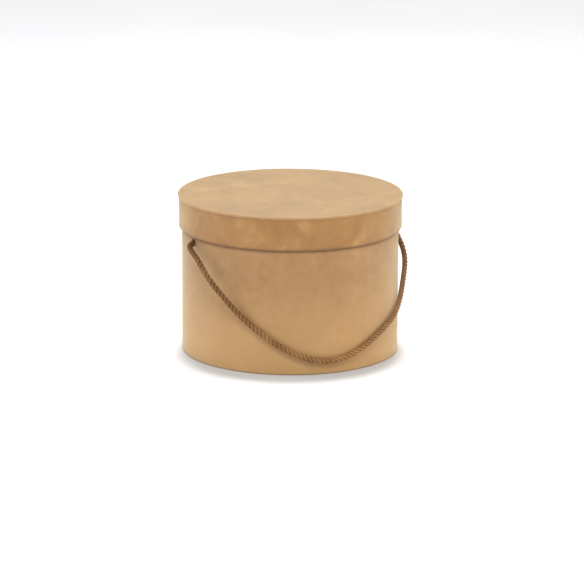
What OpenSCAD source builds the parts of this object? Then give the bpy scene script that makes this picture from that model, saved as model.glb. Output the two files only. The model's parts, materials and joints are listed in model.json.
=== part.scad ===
// Round covered hat box: a board drum with a push-on lid and a twisted cord handle.
// Millimetres, +Z up. The origin is the centre of the base, on the surface that the box stands on.
// The cord handle hangs at the front (-Y). The seams of the boards and of the covering are at the back (+Y).

/* [Box] */
// Largest diameter, across the covered edge of the lid's top
lid_d = 255; // [200:5:320]
// Overall height with the lid on
box_h = 180; // [150:5:240]
// Height of the lid's side below its top edge
rim_h = 37; // [30:1:45]
// How far the lid's top edge stands out past the lid's side
lip = 1.2; // [0.5:0.1:1.5]
// Running gap between the lid's inside and the covered drum
lid_gap = 1; // [0.7:0.1:1.5]

/* [Board and sheet] */
// Thickness of the drum's wall, the base disc and the lid's disc
board_t = 2; // [1.5:0.1:3]
// Thickness of the lid's side board
hoop_t = 1.8; // [1.2:0.1:2.5]
// Thickness of the outer covering
cover_t = 0.4; // [0.3:0.1:0.4]
// Thickness of the paper linings and joint tapes
paper_t = 0.2; // [0.1:0.05:0.2]

/* [Handle] */
// Diameter of the twisted cord
cord_d = 6.5; // [4:0.5:6.5]
// Diameter of the two punched holes
hole_d = 8.5; // [8.5:0.5:9.5]
// Hole centre below the lid's lower edge
hole_drop = 7.5; // [7:0.5:12]

/* [Hidden] */
$fn = 128;
cut = 1;                    // how far a cutter runs past what it cuts
rest_gap = 0.3;             // between the lid and the drum's mouth
seam_gap = 0.5;             // between the two ends of a rolled board
overlap_a = 5;              // angle that the covering overlaps itself at its seam
lap_sink = 0.2;             // how far a lap runs into the layer under it
tape_a = 14;                // angle that a seam tape covers
turn_in = 19;               // how far the drum's covering is turned in over the mouth
lid_turn_in = 9;            // how far the lid's covering is turned in under the side
turn_under = 13;            // how wide the covering's edge lies under a disc
lining_lap = 8;             // how far the drum's lining laps over the turned-in covering
tape_leg = 11;              // each leg of a corner tape

// Radii of the lid, from the outside in
lid_r = lid_d / 2;
lid_board_r = lid_r - cover_t;
band_r = lid_r - lip;
hoop_r = band_r - cover_t;
hoop_in_r = hoop_r - hoop_t;
lid_in_r = hoop_in_r - cover_t;

// Radii of the drum, from the outside in
body_r = lid_in_r - lid_gap;
wall_r = body_r - cover_t;
wall_in_r = wall_r - board_t;
lining_in_r = wall_in_r - 2 * paper_t;
base_r = wall_in_r - 0.1;
base_sheet_r = body_r - 5;

// Heights of the base, from the bottom up
sheet_top = rest_gap;
wall_z = sheet_top + cover_t;
floor_z = wall_z + board_t;
floor_tape_z = floor_z + paper_t;
inside_z = floor_tape_z + paper_t;

// Heights of the lid, from the top down
lid_board_top = box_h - cover_t;
lid_board_z = lid_board_top - board_t;
hoop_top = lid_board_z - cover_t;
lid_tape_z = hoop_top - paper_t;
lid_lining_z = lid_tape_z - paper_t;
rim_z = box_h - rim_h;
hoop_z = rim_z + cover_t;
lid_turn_z = hoop_z + lid_turn_in;
lid_corner_z = hoop_top - tape_leg + 3;

// Heights of the drum's mouth
mouth_z = lid_lining_z - rest_gap;
wall_top = mouth_z - cover_t;
turn_z = wall_top - turn_in;
hole_z = rim_z - hole_drop;

// Knots inside the holes
knot_r = 8;
knot_x = lining_in_r - knot_r - rest_gap;
tail_l = 27;

// The cord's route from the left hole to the right one, in millimetres, for the default sizes.
// The cord follows a smooth curve drawn along these points.
route_hole = [122.7, 135.5];
route = [
  [-115.5, 0, 135.5], [-120, 0, 135.5], [-124.2, -1, 135], [-128, -3, 134],
  [-130.7, -6.5, 132.5], [-131.7, -11.5, 130.5], [-131.7, -19, 127.5], [-131.6, -28, 123.5],
  [-131.6, -37, 117.5], [-130.5, -46, 109.5], [-124, -57.2, 96], [-113.4, -66.9, 80],
  [-102.9, -76.5, 65.5], [-90.4, -89, 51.5], [-76.3, -102, 38.5], [-59.7, -112.5, 27.3],
  [-41.2, -120.5, 18.9], [-22, -125, 15], [-2, -127, 16], [18, -126, 21.5],
  [37, -121.5, 30], [54, -115, 38], [70, -106.5, 45], [83.5, -95.8, 51.5],
  [94, -85.5, 59.5], [103.7, -73.8, 68.5], [113, -60.8, 77.5], [121.8, -49, 86.5],
  [128.8, -38, 96], [132.6, -27.3, 105.5], [133.1, -17.3, 114.2], [132.7, -10, 121],
  [131.6, -5, 127], [129, -2, 131.8], [124.7, -0.5, 134.8], [120, 0, 135.5],
  [115.5, 0, 135.5]
];
route_steps = 2;
cord_sides = 10;

// Colours
suede = [0.74, 0.58, 0.41];
greyboard = [0.62, 0.59, 0.54];
kraft = [0.72, 0.58, 0.42];
lining = [0.90, 0.86, 0.78];
rope = [0.48, 0.34, 0.22];

// A tube standing on z0 with its top at z1
module tube(outer, inner, z0, z1) {
  translate([0, 0, z0])
    difference() {
      cylinder(r = outer, h = z1 - z0);
      translate([0, 0, -cut]) cylinder(r = inner, h = z1 - z0 + 2 * cut);
    }
}

// A disc standing on z0 with its top at z1
module disc(r, z0, z1) {
  translate([0, 0, z0]) cylinder(r = r, h = z1 - z0);
}

// Part of a tube, centred on the back (+Y)
module back_strip(outer, inner, z0, z1, angle) {
  rotate([0, 0, 90 - angle / 2])
    rotate_extrude(angle = angle)
      translate([inner, z0]) square([outer - inner, z1 - z0]);
}

// The gap between the two ends of a rolled board, at the back
module butt_seam(r, z0, z1) {
  translate([-seam_gap / 2, r - 5, z0 - cut]) cube([seam_gap, 10, z1 - z0 + 2 * cut]);
}

// The two punched holes, as cutters
module cord_holes() {
  translate([0, 0, hole_z])
    rotate([0, 90, 0]) cylinder(d = hole_d, h = 2 * lid_r, center = true);
}

// Drum -----------------------------------------------------------------

module wall_board() {
  color(greyboard)
    difference() {
      tube(wall_r, wall_in_r, wall_z, wall_top);
      cord_holes();
      butt_seam(wall_r, wall_z, wall_top);
    }
}

module wall_seam_tape() {
  color(kraft)
    back_strip(wall_in_r, wall_in_r - paper_t, floor_z + tape_leg, turn_z, tape_a);
}

module base_board() {
  color(greyboard) disc(base_r, wall_z, floor_z);
}

module base_joint_tape() {
  color(kraft)
    rotate_extrude()
      polygon([
        [wall_in_r - tape_leg, floor_z], [wall_in_r, floor_z], [wall_in_r, floor_z + tape_leg],
        [wall_in_r - paper_t, floor_z + tape_leg], [wall_in_r - paper_t, floor_tape_z],
        [wall_in_r - tape_leg, floor_tape_z]
      ]);
}

module wall_wrap() {
  color(suede) {
    difference() {
      rotate_extrude()
        polygon([
          [body_r - turn_under, sheet_top], [body_r, sheet_top], [body_r, mouth_z],
          [wall_in_r - cover_t, mouth_z], [wall_in_r - cover_t, turn_z], [wall_in_r, turn_z],
          [wall_in_r, wall_top], [wall_r, wall_top], [wall_r, wall_z],
          [body_r - turn_under, wall_z]
        ]);
      cord_holes();
    }
    back_strip(body_r + cover_t, wall_r + lap_sink, sheet_top, mouth_z, overlap_a);
  }
}

module base_sheet() {
  color(kraft) disc(base_sheet_r, 0, sheet_top);
}

module wall_lining() {
  color(lining)
    difference() {
      rotate_extrude()
        polygon([
          [lining_in_r, inside_z], [lining_in_r + paper_t, inside_z],
          [lining_in_r + paper_t, turn_z - 1], [lining_in_r, turn_z],
          [lining_in_r, turn_z + lining_lap], [lining_in_r - paper_t, turn_z + lining_lap],
          [lining_in_r - paper_t, turn_z - 1], [lining_in_r, turn_z - 2]
        ]);
      cord_holes();
    }
}

module base_lining() {
  color(lining) disc(lining_in_r, floor_tape_z, inside_z);
}

// Lid ------------------------------------------------------------------

module lid_board() {
  color(greyboard) disc(lid_board_r, lid_board_z, lid_board_top);
}

module lid_hoop() {
  color(greyboard)
    difference() {
      tube(hoop_r, hoop_in_r, hoop_z, hoop_top);
      butt_seam(hoop_r, hoop_z, hoop_top);
    }
}

module lid_hoop_tape() {
  color(kraft)
    back_strip(hoop_in_r, hoop_in_r - paper_t, lid_turn_z, lid_corner_z, tape_a);
}

module lid_joint_tape() {
  color(kraft)
    rotate_extrude()
      polygon([
        [hoop_in_r - tape_leg, lid_tape_z], [hoop_in_r - paper_t, lid_tape_z],
        [hoop_in_r - paper_t, lid_corner_z], [hoop_in_r, lid_corner_z], [hoop_in_r, hoop_top],
        [hoop_in_r - tape_leg, hoop_top]
      ]);
}

module lid_top_cover() {
  color(suede)
    rotate_extrude()
      polygon([
        [0, lid_board_top], [lid_board_r, lid_board_top], [lid_board_r, lid_board_z],
        [lid_r - turn_under, lid_board_z], [lid_r - turn_under, hoop_top],
        [lid_r - cover_t, hoop_top], [lid_r, lid_board_z], [lid_r, lid_board_top],
        [lid_r - cover_t, box_h], [0, box_h]
      ]);
}

module lid_band() {
  color(suede) {
    rotate_extrude()
      polygon([
        [lid_in_r, rim_z], [band_r, rim_z], [band_r, hoop_top - rest_gap],
        [hoop_r, hoop_top - rest_gap], [hoop_r, hoop_z], [hoop_in_r, hoop_z],
        [hoop_in_r, lid_turn_z], [lid_in_r, lid_turn_z]
      ]);
    back_strip(band_r + cover_t, hoop_r + lap_sink, rim_z, hoop_top - rest_gap, overlap_a);
  }
}

module lid_hoop_lining() {
  color(lining)
    tube(hoop_in_r - paper_t, hoop_in_r - 2 * paper_t, lid_turn_z, lid_tape_z);
}

module lid_lining() {
  color(lining)
    disc(hoop_in_r - 2 * paper_t, lid_lining_z, lid_tape_z);
}

// Handle ---------------------------------------------------------------

function unit(v) = v / norm(v);

// The route in this box's own size
function sized(p) = [
  p[0] * body_r / route_hole[0],
  p[1] * body_r / route_hole[0],
  p[2] * hole_z / route_hole[1]
];

// A point on the uniform cubic B-spline of four points, t from 0 to 1
function spline_point(a, b, c, d, t) =
  (a * pow(1 - t, 3) + b * (3 * pow(t, 3) - 6 * t * t + 4)
    + c * (-3 * pow(t, 3) + 3 * t * t + 3 * t + 1) + d * pow(t, 3)) / 6;

// The smooth curve along a list of points, with n points to a span
function smooth(p, n) = [
  for (i = [0 : len(p) - 4], k = [0 : (i == len(p) - 4 ? n : n - 1)])
    spline_point(p[i], p[i + 1], p[i + 2], p[i + 3], k / n)
];

// Unit tangents of a curve
function tangents(c) = [
  for (i = [0 : len(c) - 1]) unit(c[min(i + 1, len(c) - 1)] - c[max(i - 1, 0)])
];

// Normals carried along the curve without twist
function normals(t, i = 0, n = [0, 0, 1]) =
  i == len(t) ? [] :
  let (m = unit(n - (n * t[i]) * t[i])) concat([m], normals(t, i + 1, m));

// A closed tube of diameter d along curve c
module swept_tube(c, d, sides) {
  t = tangents(c);
  n = normals(t);
  points = [
    for (i = [0 : len(c) - 1], k = [0 : sides - 1])
      c[i] + d / 2 * (cos(360 * k / sides) * n[i] + sin(360 * k / sides) * cross(t[i], n[i]))
  ];
  last = (len(c) - 1) * sides;
  faces = concat(
    [[for (k = [0 : sides - 1]) k]],
    [for (i = [0 : len(c) - 2], k = [0 : sides - 1])
      let (a = i * sides + k, b = i * sides + (k + 1) % sides)
        [a, a + sides, b + sides, b]],
    [[for (k = [sides - 1 : -1 : 0]) last + k]]
  );
  polyhedron(points = points, faces = faces, convexity = 4);
}

module handle_cord() {
  color(rope)
    swept_tube(smooth([for (p = route) sized(p)], route_steps), cord_d, cord_sides);
}

// A knot on the hole's axis inside the wall, with its tail hanging down. side is -1 left, 1 right.
module cord_knot(side) {
  color(rope)
    translate([side * knot_x, 0, hole_z]) {
      sphere(r = knot_r);
      translate([0, 0, -tail_l]) cylinder(d = cord_d, h = tail_l);
    }
}

module cord_knot_left() {
  cord_knot(-1);
}

module cord_knot_right() {
  cord_knot(1);
}

wall_board();
wall_seam_tape();
base_board();
base_joint_tape();
wall_wrap();
base_sheet();
wall_lining();
base_lining();
lid_board();
lid_hoop();
lid_hoop_tape();
lid_joint_tape();
lid_top_cover();
lid_band();
lid_hoop_lining();
lid_lining();
handle_cord();
cord_knot_left();
cord_knot_right();
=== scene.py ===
"""The looks of a round covered hat box with a twisted cord handle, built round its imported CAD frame.

Everything is in metres, in the CAD frame: +Z up, the origin at the centre of the base. The cord hangs at
the front (-Y), and every seam is at the back (+Y).
"""

import json
import math
from collections import namedtuple

import bpy
import numpy as np
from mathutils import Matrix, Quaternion, Vector, noise


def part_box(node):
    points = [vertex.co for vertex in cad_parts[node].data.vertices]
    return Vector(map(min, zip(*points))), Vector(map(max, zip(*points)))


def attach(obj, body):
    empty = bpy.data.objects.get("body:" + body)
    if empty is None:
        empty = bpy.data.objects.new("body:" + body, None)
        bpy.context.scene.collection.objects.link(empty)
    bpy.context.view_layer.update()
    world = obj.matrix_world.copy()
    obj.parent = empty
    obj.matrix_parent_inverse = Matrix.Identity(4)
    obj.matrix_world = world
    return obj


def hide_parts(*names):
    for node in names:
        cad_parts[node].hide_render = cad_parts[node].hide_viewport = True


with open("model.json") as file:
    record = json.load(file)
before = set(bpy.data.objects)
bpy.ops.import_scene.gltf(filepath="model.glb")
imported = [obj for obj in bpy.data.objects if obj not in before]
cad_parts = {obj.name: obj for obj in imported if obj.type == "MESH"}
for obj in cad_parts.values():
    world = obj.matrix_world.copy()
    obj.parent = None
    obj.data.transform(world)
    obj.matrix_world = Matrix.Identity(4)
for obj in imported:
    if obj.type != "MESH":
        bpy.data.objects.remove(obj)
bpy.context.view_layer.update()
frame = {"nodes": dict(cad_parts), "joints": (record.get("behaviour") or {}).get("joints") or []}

# Sizes read off the CAD nodes ------------------------------------------------

MM = 0.001
hinge = next(j for j in frame["joints"] if j["name"] == "handle_swing")
HOLE_Z = hinge["pos_m"][2]
BODY_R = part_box("wall_wrap")[1].x
MOUTH_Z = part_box("wall_wrap")[1].z
WRAP_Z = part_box("wall_wrap")[0].z
WALL_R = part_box("wall_board")[1].x
COVER_T = BODY_R - WALL_R
BAND_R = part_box("lid_band")[1].x
BAND_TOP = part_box("lid_band")[1].z
RIM_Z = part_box("lid_band")[0].z
LID_IN_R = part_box("lid_lining")[1].x
LID_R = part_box("lid_top_cover")[1].x
LID_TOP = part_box("lid_top_cover")[1].z
LID_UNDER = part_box("lid_top_cover")[0].z
MIDDLE = Vector((0, 0, LID_TOP / 2))

# Sizes that the nodes' boxes don't show
HOLE_R = 4.25 * MM
CORD_D = 6.5 * MM
TURN_IN = 19 * MM               # of the drum's covering, over the mouth
TURN_IN_DEPTH = 2.4 * MM        # from the wall board's outside to the face of the turn-in
TURN_UNDER = 13 * MM
LID_TURN_IN = 9 * MM
BASE_FILLET = 1.0 * MM
EDGE_FILLET = 0.9 * MM          # of a covering folded over a board's edge
SKIRT_FILLET = 1.2 * MM         # of the lower edge of the lid's top covering
TOP_FILLET = 1.3 * MM

# Camera ----------------------------------------------------------------------

CAMERA_AZIMUTH = math.radians(-28)
CAMERA_ELEVATION = math.radians(14.39)
CAMERA_ROLL = math.radians(0.24)
CAMERA_DISTANCE = 4.26
CAMERA_LENS = 231
# The point at the middle of the picture, across and up from the middle of the box
CAMERA_AIM = Vector((0.0021, -0.0252, 0))


def outward(azimuth, elevation):
    """The direction from the box to what stands that far round it from the front, and that far up."""
    flat = math.cos(elevation)
    return Vector((math.sin(azimuth) * flat, -math.cos(azimuth) * flat, math.sin(elevation)))


def make_camera():
    """A long lens a few metres from the box."""
    back = outward(CAMERA_AZIMUTH, CAMERA_ELEVATION)
    turn = (-back).to_track_quat("-Z", "Y") @ Quaternion((0, 0, 1), CAMERA_ROLL)
    camera = bpy.data.objects.new("camera", bpy.data.cameras.new("camera"))
    camera.data.lens = CAMERA_LENS
    camera.data.clip_end = 100
    camera.rotation_mode = "QUATERNION"
    camera.rotation_quaternion = turn
    camera.location = MIDDLE + turn @ CAMERA_AIM + back * CAMERA_DISTANCE
    bpy.context.scene.collection.objects.link(camera)
    bpy.context.scene.camera = camera


# Mesh helpers ----------------------------------------------------------------


def mesh_piece(name, points, faces, look, body, replaced, marks=None):
    """A piece that rides on a body in place of CAD nodes. marks are its point attributes."""
    mesh = bpy.data.meshes.new(name)
    mesh.from_pydata([tuple(p) for p in points], [], [tuple(f) for f in faces])
    for mark, values in (marks or {}).items():
        values = np.asarray(values, np.float32)
        kind, field = ("FLOAT_VECTOR", "vector") if values.ndim == 2 else ("FLOAT", "value")
        mesh.attributes.new(mark, kind, "POINT").data.foreach_set(field, values.ravel())
    mesh.materials.append(look)
    piece = bpy.data.objects.new(name, mesh)
    bpy.context.scene.collection.objects.link(piece)
    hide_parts(*replaced)
    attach(piece, body)
    return piece


def settle(piece, sharp=math.radians(38)):
    """Applies a piece's modifiers, then shades it smooth apart from its sharp edges."""
    graph = bpy.context.evaluated_depsgraph_get()
    piece.data = bpy.data.meshes.new_from_object(piece.evaluated_get(graph))
    piece.modifiers.clear()
    piece.data.shade_smooth()
    piece.data.set_sharp_from_angle(angle=sharp)


def smooth_step(t):
    """0 up to t = 0, 1 from t = 1, and an even S in between."""
    t = np.clip(t, 0, 1)
    return t * t * (3 - 2 * t)


def unit(v):
    """Vectors scaled to a length of 1."""
    return v / np.linalg.norm(v, axis=-1, keepdims=True)


# Cord ------------------------------------------------------------------------

# The points that the cord's smooth curve follows, from the left hole to the right one
ROUTE = [
    (-0.1155, 0, 0.1355), (-0.12, 0, 0.1355), (-0.1242, -0.001, 0.135),
    (-0.128, -0.003, 0.134), (-0.1307, -0.0065, 0.1325), (-0.1317, -0.0115, 0.1305),
    (-0.1317, -0.019, 0.1275), (-0.1316, -0.028, 0.1235), (-0.1316, -0.037, 0.1175),
    (-0.1305, -0.046, 0.1095), (-0.124, -0.0572, 0.096), (-0.1134, -0.0669, 0.08),
    (-0.1029, -0.0765, 0.0655), (-0.0904, -0.089, 0.0515), (-0.0763, -0.102, 0.0385),
    (-0.0597, -0.1125, 0.0273), (-0.0412, -0.1205, 0.0189), (-0.022, -0.125, 0.015),
    (-0.002, -0.127, 0.016), (0.018, -0.126, 0.0215), (0.037, -0.1215, 0.03),
    (0.054, -0.115, 0.038), (0.07, -0.1065, 0.045), (0.0835, -0.0958, 0.0515),
    (0.094, -0.0855, 0.0595), (0.1037, -0.0738, 0.0685), (0.113, -0.0608, 0.0775),
    (0.1218, -0.049, 0.0865), (0.1288, -0.038, 0.096), (0.1326, -0.0273, 0.1055),
    (0.1331, -0.0173, 0.1142), (0.1327, -0.01, 0.121), (0.1316, -0.005, 0.127),
    (0.129, -0.002, 0.1318), (0.1247, -0.0005, 0.1348), (0.12, 0, 0.1355),
    (0.1155, 0, 0.1355),
]
ROUTE_STEPS = 12
CORD_LENGTH = 0.496

STRANDS = 3
YARNS = 8                       # that show round each strand
SIDES_PER_YARN = 4
CORD_LAY = 16 * MM              # along the cord for one turn of its strands
YARN_LAY = 14 * MM              # along a strand for one turn of its yarns
STRAND_OFFSET = 0.52            # of a strand's middle from the cord's, as a share of the cord's radius
STRAND_R = 0.5                  # of a strand, as a share of the cord's radius
YARN_GROOVE = 0.1               # between two yarns, as a share of the strand's radius
YARN_ROUNDNESS = 0.6            # 1 would be a plain sine between grooves, and less is fuller
STRAND_UNEVEN = 0.03            # of a strand's radius along it
STRAND_WAVES = 90               # per metre
STRAND_SHIFT = 7.3              # so that no two strands vary alike
CORD_SHARP = math.radians(75)
RING_STEP = 0.8 * MM
LOOSE_REACH = 6 * MM            # of the opened strands at a cut end
LOOSE_END = 0.35                # how much further apart they are at the end

# An overhand knot is most of a trefoil that lies in the upright plane through both holes
KNOT_CORD_D = 5.0 * MM          # of the cord where the knot squeezes it
KNOT_R = 4.4 * MM               # from the knot's middle to the middle of its waves
KNOT_TUBE = 2.5 * MM            # how far they go in, out and to each side
KNOT_AT = (110.2 * MM, 137 * MM)  # its middle, out from the axis and up
KNOT_MOUTH = math.radians(222)  # where its two ends leave, round its middle from inwards over the top
KNOT_GAP = math.radians(14)     # left out of the trefoil at each of its two ends
KNOT_POINTS = 26
KNOT_STEPS = 6
HOLE_DEPTHS = (1 * MM, 2.5 * MM, 4.5 * MM)  # of the line's first points, from the covering's face
TAIL_X = 112.6 * MM
TAIL_Y = 0.4 * MM
TAIL_Z = 108.5 * MM
TAIL_START = 12 * MM            # under the knot's middle
TAIL_POINTS = 5


def smooth_line(points, steps):
    """The uniform cubic B-spline of the points, with that many steps to a span."""
    p = np.array(points, float)
    t = np.arange(steps)[:, None] / steps
    spans = [
        (a * (1 - t) ** 3
         + b * (3 * t**3 - 6 * t**2 + 4)
         + c * (-3 * t**3 + 3 * t**2 + 3 * t + 1)
         + d * t**3) / 6
        for a, b, c, d in zip(p, p[1:], p[2:], p[3:])
    ]
    last = (p[-3] + 4 * p[-2] + p[-1]) / 6
    return np.concatenate([*spans, [last]])


def even(line, step):
    """The line with its points about step apart, and how far along it each one is."""
    along = np.concatenate([[0], np.cumsum(np.linalg.norm(np.diff(line, axis=0), axis=1))])
    where = np.linspace(0, along[-1], int(round(along[-1] / step)) + 1)
    return np.stack([np.interp(where, along, line[:, i]) for i in range(3)], axis=1), where


def carried_axes(line):
    """Two normals at each point of a line, carried along it without twist."""
    tangents = unit(np.gradient(line, axis=0))
    normals = [np.cross(tangents[0], (0, 1, 0))]
    for t in tangents:
        n = normals[-1] - np.dot(normals[-1], t) * t
        normals.append(n / np.linalg.norm(n))
    normals = np.array(normals[1:])
    return normals, np.cross(tangents, normals)


def tube_faces(start, rings, count):
    """The faces of a tube of rings of count points each, with both of its ends closed."""
    faces = []
    for ring in range(rings - 1):
        a = start + ring * count
        for side in range(count):
            b = (side + 1) % count
            faces.append((a + side, a + b, a + count + b, a + count + side))
    faces.append([start + side for side in reversed(range(count))])
    faces.append([start + (rings - 1) * count + side for side in range(count)])
    return faces


def twisted_cord(name, line, diameter, look, body, replaced, loose_end=0.0):
    """A cord of three strands laid round each other, each of them a bundle of yarns, along a line. Its last
    few millimetres open out by the share loose_end."""
    line, along = even(line, RING_STEP)
    open_out = 1 + loose_end * smooth_step((along - along[-1] + LOOSE_REACH) / LOOSE_REACH)
    normals, sides = carried_axes(line)
    count = YARNS * SIDES_PER_YARN
    round_it = np.arange(count) / count * 2 * math.pi
    lobe = np.abs(np.sin(round_it * YARNS / 2)) ** YARN_ROUNDNESS
    points, faces, yarn, depth = [], [], [], []
    for strand in range(STRANDS):
        turn = 2 * math.pi * (strand / STRANDS + along / CORD_LAY)
        out = np.cos(turn)[:, None] * normals + np.sin(turn)[:, None] * sides
        middle = line + (open_out * diameter / 2 * STRAND_OFFSET)[:, None] * out
        tangents = unit(np.gradient(middle, axis=0))
        first = unit(out - (out * tangents).sum(1)[:, None] * tangents)
        second = np.cross(tangents, first)
        start = len(points)
        for ring, at in enumerate(along):
            spot = Vector((at * STRAND_WAVES, strand * STRAND_SHIFT, len(name)))
            loose = 1 + STRAND_UNEVEN * noise.noise(spot)
            around = round_it - 2 * math.pi * at / YARN_LAY
            reach = diameter / 2 * STRAND_R * loose * (1 - YARN_GROOVE * (1 - lobe))
            ring_points = (
                middle[ring]
                + (reach * np.cos(around))[:, None] * first[ring]
                + (reach * np.sin(around))[:, None] * second[ring]
            )
            points.extend(ring_points)
            yarn.extend((at, side / count, strand) for side in range(count))
            depth.extend(np.linalg.norm(ring_points - line[ring], axis=1) / (diameter / 2 * open_out[ring]))
        faces += tube_faces(start, len(along), count)
    piece = mesh_piece(name, points, faces, look, body, replaced, {"yarn": yarn, "depth": depth})
    settle(piece, CORD_SHARP)
    return piece, line


def knot_line(side):
    """The line of the cord's end inside the box, from its hole through an overhand knot down to its tail.
    side is -1 for the left knot and 1 for the right one."""
    x0, z0 = KNOT_AT
    points = [(BODY_R - depth, 0, HOLE_Z) for depth in HOLE_DEPTHS]
    for t in np.linspace(2 * math.pi - KNOT_GAP, KNOT_GAP, KNOT_POINTS):
        reach = KNOT_R + KNOT_TUBE * math.cos(3 * t)
        around = KNOT_MOUTH + 2 * t
        x, z = x0 - reach * math.cos(around), z0 + reach * math.sin(around)
        points.append((x, KNOT_TUBE * math.sin(3 * t), z))
    points += [(TAIL_X, TAIL_Y, z) for z in np.linspace(z0 - TAIL_START, TAIL_Z, TAIL_POINTS)]
    return smooth_line([(side * x, side * y, z) for x, y, z in points], KNOT_STEPS)


def make_knot(name, side, look, replaced):
    """An overhand knot and its tail inside the box, which stay put while the cord swings."""
    piece, _ = twisted_cord(name, knot_line(side), KNOT_CORD_D, look, "box", [replaced], LOOSE_END)
    return piece


# Covering sheets -------------------------------------------------------------

COLUMNS = 360                   # round a covering
COLUMN_TURN = 2 * math.pi / COLUMNS
ROW_STEP = 2.2 * MM
FILLET_STEP = math.radians(15)
SAME = 1e-6                     # two lengths this close are one
SEAM_AT = math.radians(90)
LAP = math.radians(5)           # how far a covering overlaps itself at its seam
LAP_CLIMB = math.radians(1.6)   # over which it climbs onto its own start
LAP_GAP = 0.03 * MM             # between its two layers
LAP_PRESSED = 0.1               # of the climb, where the lap is turned in or under
HOLE_WINDOW = 7.5 * MM          # half the width of the finer patch round a hole
HOLE_RINGS = 7
RING_CROWDING = 1.6             # above 1, the rings lie closer together towards the hole
HOLE_DIP = 0.3 * MM             # how far the covering is pressed in at a hole's edge
HOLE_DIP_REACH = 0.7 * MM
EDGE_TONE_REACH = 1.1 * MM
UNEVEN = 0.1 * MM               # of a covering's face
BAND_UNEVEN = 0.08 * MM
BROAD_WAVES = 14                # per metre
SMALL_WAVES = 45
SMALL_SHARE = 0.45
SMALL_SHIFT = Vector((3, 1, 7))
BAND_EDGE_SHADE = -0.2                # below 0, the edge tone is painted shade: it darkens the lid rim's lower edge
PLEATS = 90                     # round the drum's turned edges
PLEAT_DEPTH = 0.04 * MM
PLEAT_START = 1 * MM            # in from the drum's face
PLEAT_REACH = 6 * MM            # in from the drum's face to the full depth
PLEAT_WANDER = 3                # radians that they stray from an even spacing
WANDER_SCALE = 5

Row = namedtuple("Row", "radius height out up along wear")


def rounded(corners):
    """Rows of (radius, height, bend) along a profile. A corner is (radius, height, fillet), and bend is 1
    on a fillet and all the way between two fillets."""
    pts = [np.array(c[:2]) for c in corners]
    turned = []
    for i, (r, z, fillet) in enumerate(corners):
        if not fillet:
            turned.append((r, z, 0))
            continue
        before, after = unit(pts[i - 1] - pts[i]), unit(pts[i + 1] - pts[i])
        half = math.acos(np.clip(before @ after, -1, 1)) / 2
        middle = pts[i] + unit(before + after) * fillet / math.sin(half)
        start = pts[i] + before * fillet / math.tan(half) - middle
        sweep = math.pi - 2 * half
        hand = math.copysign(1, start[0] * -before[1] + start[1] * before[0])
        steps = max(4, round(sweep / FILLET_STEP))
        for k in range(steps + 1):
            a = hand * sweep * k / steps
            c, s = math.cos(a), math.sin(a)
            across, up = c * start[0] - s * start[1], s * start[0] + c * start[1]
            turned.append((middle[0] + across, middle[1] + up, 1))
    rows = [turned[0]]
    for a, b in zip(turned, turned[1:]):
        n = max(1, round(math.dist(a[:2], b[:2]) / ROW_STEP))
        for k in range(1, n):
            rows.append((a[0] + (b[0] - a[0]) * k / n, a[1] + (b[1] - a[1]) * k / n, a[2] * b[2]))
        rows.append(b)
    return np.array(rows)


def profile_rows(corners, edge_tone_share):
    """The rows of a profile: where each one is, which way its face looks, how far along it lies and its
    edge tone. What has bend gets the edge tone, scuffed lighter above 0 and painted shade below 0."""
    radius, height, bend = rounded(corners).T
    along = np.concatenate([[0], np.cumsum(np.hypot(np.diff(radius), np.diff(height)))])
    direction = unit(np.stack([np.gradient(radius), np.gradient(height)], axis=1))
    folds = along[bend > 0.5]
    wear = edge_tone_share * np.exp(-(np.abs(along[:, None] - folds[None]).min(1) / EDGE_TONE_REACH) ** 2)
    return [Row(*row) for row in zip(radius, height, direction[:, 1], -direction[:, 0], along, wear)]


def crown(x, y, z, size):
    """Soft unevenness of board and covering together: broad waves with smaller ones on them."""
    broad = noise.noise(Vector((x, y, z)) * BROAD_WAVES)
    near = noise.noise(Vector((x, y, z)) * SMALL_WAVES + SMALL_SHIFT)
    return size * (broad + SMALL_SHARE * near)


def pleat_lift(radius, angle):
    """The lift of the fine, uneven gathers in the drum covering's turned edges."""
    away = BODY_R - radius if radius < BODY_R - PLEAT_START else 0
    wander = PLEAT_WANDER * noise.noise(Vector((math.cos(angle), math.sin(angle), 0)) * WANDER_SCALE)
    return PLEAT_DEPTH * smooth_step(away / PLEAT_REACH) * math.sin(PLEATS * angle + wander)


def lap_lift(radius, up, turn):
    """How far a covering is lifted where it runs on over its own start."""
    climbed = smooth_step((turn - 2 * math.pi + LAP_CLIMB) / LAP_CLIMB)
    pressed = 1 if radius > WALL_R and up < 0.5 else LAP_PRESSED
    return (COVER_T + LAP_GAP) * climbed * pressed


def hole_window(rows, turn):
    """The rows and columns that bound the finer patch round a hole, which is at that turn."""
    wall = [i for i, row in enumerate(rows) if abs(row.radius - BODY_R) < SAME]
    low = min(wall, key=lambda i: abs(rows[i].height - HOLE_Z + HOLE_WINDOW))
    high = min(wall, key=lambda i: abs(rows[i].height - HOLE_Z - HOLE_WINDOW))
    half = HOLE_WINDOW / BODY_R
    return low, high, round((turn - half) / COLUMN_TURN), round((turn + half) / COLUMN_TURN)


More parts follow.
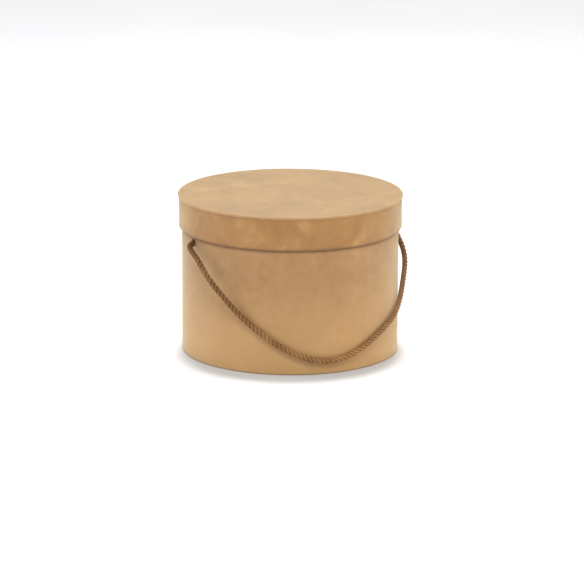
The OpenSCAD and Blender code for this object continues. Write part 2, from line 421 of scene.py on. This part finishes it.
class Sheet:
    """The points, faces and marks of a covering. A turn is measured from the sheet's own start."""

    def __init__(self, lapped, uneven, pleated):
        self.lapped, self.uneven, self.pleated = lapped, uneven, pleated
        self.first = SEAM_AT - LAP / 2 if lapped else SEAM_AT
        self.points, self.faces, self.flat, self.edge_tones = [], [], [], []

    def add(self, row, turn):
        """Adds a row's point at a turn, and gives its number."""
        angle = self.first + turn
        lift = crown(row.radius * math.cos(angle), row.radius * math.sin(angle), row.height, self.uneven)
        if self.pleated:
            lift += pleat_lift(row.radius, angle)
        if self.lapped:
            lift += lap_lift(row.radius, row.up, turn)
        radius, height = row.radius + lift * row.out, row.height + lift * row.up
        x, y = radius * math.cos(angle), radius * math.sin(angle)
        self.points.append((x, y, height))
        self.flat.append((turn * BODY_R, row.along, 0) if self.lapped else (x, y, 0))
        self.edge_tones.append(row.wear)
        return len(self.points) - 1

    def punch(self, rows, grid, window, turn):
        """Fills a window of the grid with rings that close in on the edge of the hole at that turn."""
        low, high, left, right = window
        edge = [(low, j) for j in range(left, right)] + [(i, right) for i in range(low, high)]
        edge += [(high, j) for j in range(right, left, -1)] + [(i, left) for i in range(high, low, -1)]
        outer = [grid[i][j] for i, j in edge]
        spots = [((j * COLUMN_TURN - turn) * BODY_R, rows[i].height - HOLE_Z) for i, j in edge]
        for ring in range(1, HOLE_RINGS + 1):
            t = 1 - (1 - ring / HOLE_RINGS) ** RING_CROWDING
            inner = []
            for u, v in spots:
                size = math.hypot(u, v)
                reach = size + (HOLE_R - size) * t
                u, v = u / size * reach, v / size * reach
                dip = HOLE_DIP * math.exp(-(((reach - HOLE_R) / HOLE_DIP_REACH) ** 2))
                along = rows[low].along + HOLE_Z + v - rows[low].height
                row = Row(BODY_R - dip, HOLE_Z + v, 1, 0, along, rows[low].wear)
                inner.append(self.add(row, turn + u / BODY_R))
            n = len(outer)
            self.faces += [(outer[k], outer[(k + 1) % n], inner[(k + 1) % n], inner[k]) for k in range(n)]
            outer = inner


def covering(name, corners, look, body, replaced, lapped=True, holes=(), uneven=UNEVEN, pleated=False,
             edge_tone_share=1.0):
    """A thin sheet glued round the Z axis along a profile whose face side is on its right. It starts at the
    back and, if it is lapped, runs on over its own start. A profile that ends on the axis is closed there."""
    rows = profile_rows(corners, edge_tone_share)
    sheet = Sheet(lapped, uneven, pleated)
    closed = rows[-1].radius < SAME
    columns = COLUMNS + round(LAP / COLUMN_TURN) + 1 if lapped else COLUMNS
    whole = rows[:-1] if closed else rows
    grid = [[sheet.add(row, j * COLUMN_TURN) for j in range(columns)] for row in whole]
    turns = [(hole - sheet.first) % (2 * math.pi) for hole in holes]
    windows = [hole_window(rows, turn) for turn in turns]
    for i in range(len(grid) - 1):
        for j in range(columns - 1 if lapped else columns):
            if not any(a <= i < b and c <= j < d for a, b, c, d in windows):
                k = (j + 1) % columns
                sheet.faces.append((grid[i][j], grid[i][k], grid[i + 1][k], grid[i + 1][j]))
    if closed:
        tip = sheet.add(rows[-1], 0)
        sheet.faces += [(grid[-1][j], grid[-1][(j + 1) % columns], tip) for j in range(columns)]
    for window, turn in zip(windows, turns):
        sheet.punch(rows, grid, window, turn)
    marks = {"sheet": sheet.flat, "wear": sheet.edge_tones}
    piece = mesh_piece(name, sheet.points, sheet.faces, look, body, replaced, marks)
    thick = piece.modifiers.new("thickness", "SOLIDIFY")
    thick.thickness, thick.offset, thick.use_even_offset = COVER_T, -1, True
    settle(piece)
    return piece


def make_drum_cover(look):
    """The wall's covering, turned under the base and in over the mouth. Its wall lies between two fillets,
    so it is scuffed lighter all over."""
    corners = [
        (BODY_R - TURN_UNDER, WRAP_Z, 0),
        (BODY_R, WRAP_Z, BASE_FILLET),
        (BODY_R, MOUTH_Z, EDGE_FILLET),
        (WALL_R - TURN_IN_DEPTH, MOUTH_Z, EDGE_FILLET),
        (WALL_R - TURN_IN_DEPTH, MOUTH_Z - COVER_T - TURN_IN, 0),
    ]
    return covering("drum_cover", corners, look, "box", ["wall_wrap"], holes=(0, math.pi), pleated=True)


def make_band_cover(look):
    """The covering round the lid's side, turned in over its lower edge."""
    corners = [
        (LID_IN_R, RIM_Z + COVER_T + LID_TURN_IN, 0),
        (LID_IN_R, RIM_Z, EDGE_FILLET),
        (BAND_R, RIM_Z, EDGE_FILLET),
        (BAND_R, BAND_TOP, 0),
    ]
    # Painted shade on the lower edge of the lid's rim, in place of a scuffed lighter tone
    return covering("lid_band_cover", corners, look, "lid", ["lid_band"], uneven=BAND_UNEVEN,
                    edge_tone_share=BAND_EDGE_SHADE)


def make_top_cover(look):
    """The disc that covers the lid's top, turned down over its corner and under."""
    corners = [
        (LID_R - TURN_UNDER, LID_UNDER, 0),
        (LID_R, LID_UNDER, SKIRT_FILLET),
        (LID_R, LID_TOP, TOP_FILLET),
        (0, LID_TOP, 0),
    ]
    return covering("lid_top_skin", corners, look, "lid", ["lid_top_cover"], lapped=False)


# Materials -------------------------------------------------------------------

PAINTED_BOUNCE_TOP = 110 * MM             # painted floor bounce: the covering is painted paler from here down
PAINTED_BOUNCE = 0.72                     # share of that painted paler tone at the base
SHADE_LINE_Z = 141.1 * MM              # of a painted shadow line on the drum, just below the lid's rim
SHADE_LINE_REACH = 1.7 * MM
SHADE_LINE = 0.52                      # share of the dark tone of that painted shadow
SHADE_LINE_SHEEN_CUT = 0.8                  # of the sheen, taken off along that painted shadow
NAP = 0.62
GROOVE_DEPTH = 0.5              # from the cord's middle, in radii, up to which it has the painted shade of a groove
GROOVE_FADE = 2.2               # of that painted shade, per radius further out
CORD_END_SHADE = 0.62                 # share of the painted shade at the cord's two ends, which hang highest
# Painted light on the floor: it glows more away from the box, and the glow's middle is moved towards the
# front, so that the box's own shadow shows further out in front than at its sides
FLOOR_GLOW = 0.45
FLOOR_GLOW_FROM = 0.1145        # from its middle, where it starts
FLOOR_GLOW_TO = 0.142           # and where it is full
FLOOR_GLOW_MIDDLE = (-0.0118, -0.0222, 0)


def linear(value):
    """The light in a screen value of 0 to 255."""
    return value / 255 / 12.92 if value < 10 else ((value / 255 + 0.055) / 1.055) ** 2.4


def colour(red, green, blue):
    """A colour from its screen values, 0 to 255."""
    return linear(red), linear(green), linear(blue), 1


class Look:
    """A procedural material on one Principled shader."""

    def __init__(self, name):
        self.material = bpy.data.materials.new(name)
        self.material.use_nodes = True
        self.nodes = self.material.node_tree.nodes
        self.links = self.material.node_tree.links
        self.shader = self.nodes["Principled BSDF"]
        self.place = self.nodes.new("ShaderNodeTexCoord").outputs["Object"]
        apart = self.nodes.new("ShaderNodeSeparateXYZ")
        self.links.new(self.place, apart.inputs[0])
        self.height = apart.outputs["Z"]

    def plug(self, target, value):
        """Links a socket to another, or sets it to a value."""
        if isinstance(value, bpy.types.NodeSocket):
            self.links.new(value, target)
        else:
            target.default_value = value

    def mark(self, name, output="Vector"):
        """A point attribute of the mesh."""
        node = self.nodes.new("ShaderNodeAttribute")
        node.attribute_name = name
        return node.outputs[output]

    def stretched(self, vector, scale):
        node = self.nodes.new("ShaderNodeMapping")
        self.plug(node.inputs["Vector"], vector)
        node.inputs["Scale"].default_value = scale
        return node.outputs["Vector"]

    def noise(self, vector, scale, detail=2.0, rough=0.5, distortion=0.0):
        node = self.nodes.new("ShaderNodeTexNoise")
        self.plug(node.inputs["Vector"], vector)
        node.inputs["Scale"].default_value = scale
        node.inputs["Detail"].default_value = detail
        node.inputs["Roughness"].default_value = rough
        node.inputs["Distortion"].default_value = distortion
        return node.outputs["Fac"]

    def maths(self, kind, *values):
        node = self.nodes.new("ShaderNodeMath")
        node.operation = kind
        for socket, value in zip(node.inputs, values):
            self.plug(socket, value)
        return node.outputs[0]

    def total(self, *shares):
        """The sum of (socket, weight) pairs."""
        out = 0.0
        for socket, weight in shares:
            out = self.maths("MULTIPLY_ADD", socket, weight, out)
        return out

    def ramp(self, value, *stops):
        """Colours at (place, colour) stops, blended in between."""
        node = self.nodes.new("ShaderNodeValToRGB")
        self.plug(node.inputs["Fac"], value)
        ramp = node.color_ramp
        while len(ramp.elements) < len(stops):
            ramp.elements.new(0.5)
        for element, (at, shade) in zip(ramp.elements, stops):
            element.position, element.color = at, shade
        return node.outputs["Color"]

    def span(self, value, low, high):
        """Moves 0 to 1 onto low to high."""
        node = self.nodes.new("ShaderNodeMapRange")
        self.plug(node.inputs["Value"], value)
        node.inputs["To Min"].default_value, node.inputs["To Max"].default_value = low, high
        return node.outputs["Result"]

    def mix(self, factor, first, second):
        """The first colour, with a share of the second."""
        node = self.nodes.new("ShaderNodeMix")
        node.data_type = "RGBA"
        self.plug(node.inputs["Factor"], factor)
        # The node has a socket of each name for each kind of value, and these are the colours
        self.plug(node.inputs[6], first)
        self.plug(node.inputs[7], second)
        return node.outputs[2]

    def bump(self, height, depth, strength):
        node = self.nodes.new("ShaderNodeBump")
        self.plug(node.inputs["Height"], height)
        node.inputs["Distance"].default_value = depth
        node.inputs["Strength"].default_value = strength
        self.plug(self.shader.inputs["Normal"], node.outputs["Normal"])

    def finish(self, **sockets):
        """Sets the shader's sockets, and gives the material."""
        for name, value in sockets.items():
            self.plug(self.shader.inputs[name.replace("_", " ")], value)
        return self.material


def suede_look(name, pale=1.0):
    """Nubuck-like covering: a short nap that clouds in soft patches and catches light at a grazing angle.
    pale scales its main colours."""
    look = Look(name)
    place, sheet = look.place, look.mark("sheet")
    clouds = look.noise(place, 24, 3, 0.55, 0.8)
    strokes = look.noise(look.stretched(sheet, (55, 14, 1)), 1, 3, 0.6, 0.4)
    patches = look.noise(place, 85, 4, 0.6, 0.3)
    grain = look.noise(place, 1500, 2, 0.6)
    tone = look.total((clouds, 0.5), (strokes, 0.2), (patches, 0.2), (grain, 0.1))
    base = look.ramp(
        tone,
        (0.30, colour(127 * pale, 87 * pale, 45 * pale)),
        (0.46, colour(146 * pale, 104 * pale, 57 * pale)),
        (0.55, colour(153 * pale, 111 * pale, 63 * pale)),
        (0.70, colour(178 * pale, 137 * pale, 86 * pale)),
    )
    # The edge tone is scuffed lighter above 0, and below 0 it is painted shade
    marked = look.mark("wear", "Fac")
    wear = look.maths("MULTIPLY", look.maths("MAXIMUM", marked, 0.0), look.span(patches, 0.15, 0.75))
    edge_shade = look.maths("MULTIPLY", look.maths("MINIMUM", marked, 0.0), -1.0)
    shade = look.mix(wear, base, colour(182, 142, 98))
    # Painted shade: the lid rim's lower edge is mixed towards a dark brown
    shade = look.mix(edge_shade, shade, colour(92, 62, 34))
    # Painted floor bounce: the drum is mixed towards a paler tone towards its base, as if lit from the white
    # floor
    tone_shift = look.maths("MAXIMUM", look.maths("MULTIPLY_ADD", look.height, -1 / PAINTED_BOUNCE_TOP, 1.0), 0.0)
    shade = look.mix(look.maths("MULTIPLY", tone_shift, PAINTED_BOUNCE), shade, colour(204, 160, 105))
    # Painted shadow of the lid's rim: a dark line round the drum just below the rim
    off = look.maths("MULTIPLY_ADD", look.height, 1 / SHADE_LINE_REACH, -SHADE_LINE_Z / SHADE_LINE_REACH)
    shade_line = look.maths("POWER", 0.5, look.maths("MULTIPLY", off, off))
    shade = look.mix(look.maths("MULTIPLY", shade_line, SHADE_LINE), shade, colour(98, 64, 30))
    # The sheen is taken off where shade is painted, on the rim's lower edge and on the shadow line, so that
    # both stay dark
    sheen_cut = look.maths("MAXIMUM", edge_shade, look.maths("MULTIPLY", shade_line, SHADE_LINE_SHEEN_CUT))
    nap = look.maths("MULTIPLY_ADD", sheen_cut, -NAP, NAP)
    look.bump(look.total((grain, 0.6), (look.noise(place, 420, 3, 0.6), 0.4)), 0.00025, 0.5)
    return look.finish(
        Base_Color=shade, Roughness=look.span(patches, 0.6, 0.78), Specular_IOR_Level=0.5,
        Sheen_Weight=nap, Sheen_Roughness=0.45, Sheen_Tint=colour(246, 242, 212))


def greyboard_look():
    """Grey recycled board with darker and lighter fibres."""
    look = Look("greyboard")
    fibres = look.noise(look.stretched(look.place, (1, 1, 3)), 900, 3, 0.7, 1.5)
    pulp = look.noise(look.place, 160, 4, 0.6)
    base = look.ramp(
        look.total((fibres, 0.55), (pulp, 0.45)),
        (0.3, colour(128, 121, 110)),
        (0.5, colour(160, 153, 142)),
        (0.72, colour(186, 180, 168)),
    )
    look.bump(fibres, 0.0002, 0.5)
    return look.finish(Base_Color=base, Roughness=look.span(pulp, 0.8, 0.95))


def kraft_look():
    """Brown kraft paper with short fibres and faint ribs."""
    look = Look("kraft")
    fibres = look.noise(look.stretched(look.place, (1, 4, 4)), 500, 4, 0.7, 1.0)
    blotch = look.noise(look.place, 60, 3, 0.5)
    base = look.ramp(
        look.total((fibres, 0.6), (blotch, 0.4)),
        (0.3, colour(150, 112, 72)),
        (0.5, colour(176, 138, 96)),
        (0.7, colour(196, 160, 118)),
    )
    look.bump(fibres, 0.0001, 0.5)
    return look.finish(Base_Color=base, Roughness=look.span(fibres, 0.6, 0.85))


def lining_look():
    """Uncoated off-white lining paper with a faint laid texture."""
    look = Look("lining")
    fibres = look.noise(look.place, 1100, 3, 0.65, 0.6)
    blotch = look.noise(look.place, 45, 3, 0.5)
    base = look.ramp(
        look.total((fibres, 0.4), (blotch, 0.6)),
        (0.3, colour(222, 210, 190)),
        (0.55, colour(234, 225, 208)),
        (0.75, colour(242, 235, 221)),
    )
    look.bump(fibres, 0.00012, 0.6)
    return look.finish(Base_Color=base, Roughness=look.span(blotch, 0.8, 0.95))


def cord_look():
    """Twisted brown yarn with fine fibres and a slight sheen, with painted shade in its grooves and towards
    its ends.
    """
    look = Look("twisted_yarn")
    yarn = look.mark("yarn")
    fibres = look.noise(look.stretched(yarn, (900, 60, 3)), 1, 3, 0.6)
    tone_shift = look.noise(look.place, 40, 2, 0.5)
    base = look.ramp(
        look.total((fibres, 0.7), (tone_shift, 0.3)),
        (0.32, colour(108, 70, 32)),
        (0.5, colour(154, 108, 58)),
        (0.66, colour(222, 178, 122)),
    )
    # Painted shade in the grooves between strands and yarns: the deeper a point lies, the darker it is mixed
    raised = look.maths("SUBTRACT", look.mark("depth", "Fac"), GROOVE_DEPTH)
    raised = look.maths("MULTIPLY", raised, GROOVE_FADE)
    base = look.mix(look.maths("MINIMUM", look.maths("MAXIMUM", raised, 0.0), 1.0), colour(52, 34, 16), base)
    # Painted shade: the cord is darker towards its two ends up by the holes, and lightest at its low middle
    middle = look.nodes.new("ShaderNodeSeparateXYZ")
    look.plug(middle.inputs[0], yarn)
    away = look.maths("ABSOLUTE", look.maths("MULTIPLY_ADD", middle.outputs["X"], 2 / CORD_LENGTH, -1.0))
    base = look.mix(look.maths("MULTIPLY", away, CORD_END_SHADE), base, colour(74, 42, 14))
    look.bump(fibres, 0.00015, 0.6)
    return look.finish(Base_Color=base, Roughness=look.span(fibres, 0.45, 0.65), Specular_IOR_Level=0.35,
                       Sheen_Weight=0.05, Sheen_Roughness=0.4, Sheen_Tint=colour(226, 196, 160))


def floor_look():
    """A pale matt floor with a painted glow that grows away from the box, standing in for the light on a
    brightly lit sweep.
    """
    look = Look("studio_floor")
    base = look.ramp(look.noise(look.place, 3, 2), (0.4, (0.63, 0.64, 0.66, 1)), (0.6, (0.65, 0.66, 0.68, 1)))
    away = look.nodes.new("ShaderNodeVectorMath")
    away.operation = "DISTANCE"
    away.inputs[1].default_value = FLOOR_GLOW_MIDDLE
    look.plug(away.inputs[0], look.place)
    glow = look.nodes.new("ShaderNodeMapRange")
    glow.interpolation_type = "SMOOTHSTEP"
    look.plug(glow.inputs["Value"], away.outputs["Value"])
    glow.inputs["From Min"].default_value = FLOOR_GLOW_FROM
    glow.inputs["From Max"].default_value = FLOOR_GLOW_TO
    glow.inputs["To Max"].default_value = FLOOR_GLOW
    look.shader.inputs["Emission Color"].default_value = (1, 1, 1, 1)
    return look.finish(Base_Color=base, Roughness=0.9, Emission_Strength=glow.outputs["Result"])


def paint(nodes, look):
    """Gives CAD nodes that stay a better material."""
    for name in nodes:
        piece = frame["nodes"][name]
        piece.data.materials.clear()
        piece.data.materials.append(look)


# Studio ----------------------------------------------------------------------

FLOOR_R = 9
FLOOR_SIDES = 64
FLOOR_DROP = 0.2 * MM           # so that it isn't in one plane with the base
LAMP_DISTANCE = 2.0
WORLD_LIGHT = 0.45


def make_floor():
    """A wide disc under the box."""
    mesh = bpy.data.meshes.new("floor")
    angles = [2 * math.pi * k / FLOOR_SIDES for k in range(FLOOR_SIDES)]
    ring = [(FLOOR_R * math.cos(angle), FLOOR_R * math.sin(angle), 0) for angle in angles]
    mesh.from_pydata(ring, [], [tuple(range(FLOOR_SIDES))])
    mesh.materials.append(floor_look())
    floor = bpy.data.objects.new("floor", mesh)
    floor.location.z = -FLOOR_DROP
    bpy.context.scene.collection.objects.link(floor)


def softbox(name, azimuth, elevation, size, watts, tint=(1, 1, 1)):
    """A square area light that faces the box. Azimuth is measured as the camera's is, in degrees."""
    light = bpy.data.lights.new(name, "AREA")
    light.shape, light.size, light.energy, light.color = "SQUARE", size, watts, tint
    back = outward(math.radians(azimuth), math.radians(elevation))
    lamp = bpy.data.objects.new(name, light)
    lamp.location = MIDDLE + back * LAMP_DISTANCE
    lamp.rotation_mode = "QUATERNION"
    lamp.rotation_quaternion = (-back).to_track_quat("-Z", "Y")
    bpy.context.scene.collection.objects.link(lamp)


def make_studio():
    """Soft lights on every side, and an even white world."""
    scene = bpy.context.scene
    scene.world = bpy.data.worlds.new("studio")
    scene.world.use_nodes = True
    sky = scene.world.node_tree.nodes["Background"]
    sky.inputs["Color"].default_value = (1, 1, 1, 1)
    sky.inputs["Strength"].default_value = WORLD_LIGHT
    scene.view_settings.view_transform = "Standard"
    softbox("soft_front", -28, 46, 0.6, 17)
    softbox("soft_right", 62, 18, 1.2, 12, (1, 0.92, 0.72))
    softbox("soft_left", -118, 18, 1.2, 10)
    softbox("soft_back", 152, 66, 1.0, 25)


# The whole -------------------------------------------------------------------

make_camera()
yarn_look = cord_look()
cord_line = smooth_line(ROUTE, ROUTE_STEPS)
cord, cord_path = twisted_cord("twisted_handle", cord_line, CORD_D, yarn_look, "handle", ["handle_cord"])
knot_left = make_knot("knot_left", -1, yarn_look, "cord_knot_left")
knot_right = make_knot("knot_right", 1, yarn_look, "cord_knot_right")

lid_suede = suede_look("suede_lid", 1.075)
make_drum_cover(suede_look("suede"))
make_band_cover(lid_suede)
make_top_cover(lid_suede)
paint(["wall_board", "base_board", "lid_board", "lid_hoop"], greyboard_look())
paint(["wall_seam_tape", "base_joint_tape", "lid_hoop_tape", "lid_joint_tape", "base_sheet"], kraft_look())
paint(["wall_lining", "base_lining", "lid_lining", "lid_hoop_lining"], lining_look())
make_floor()
make_studio()
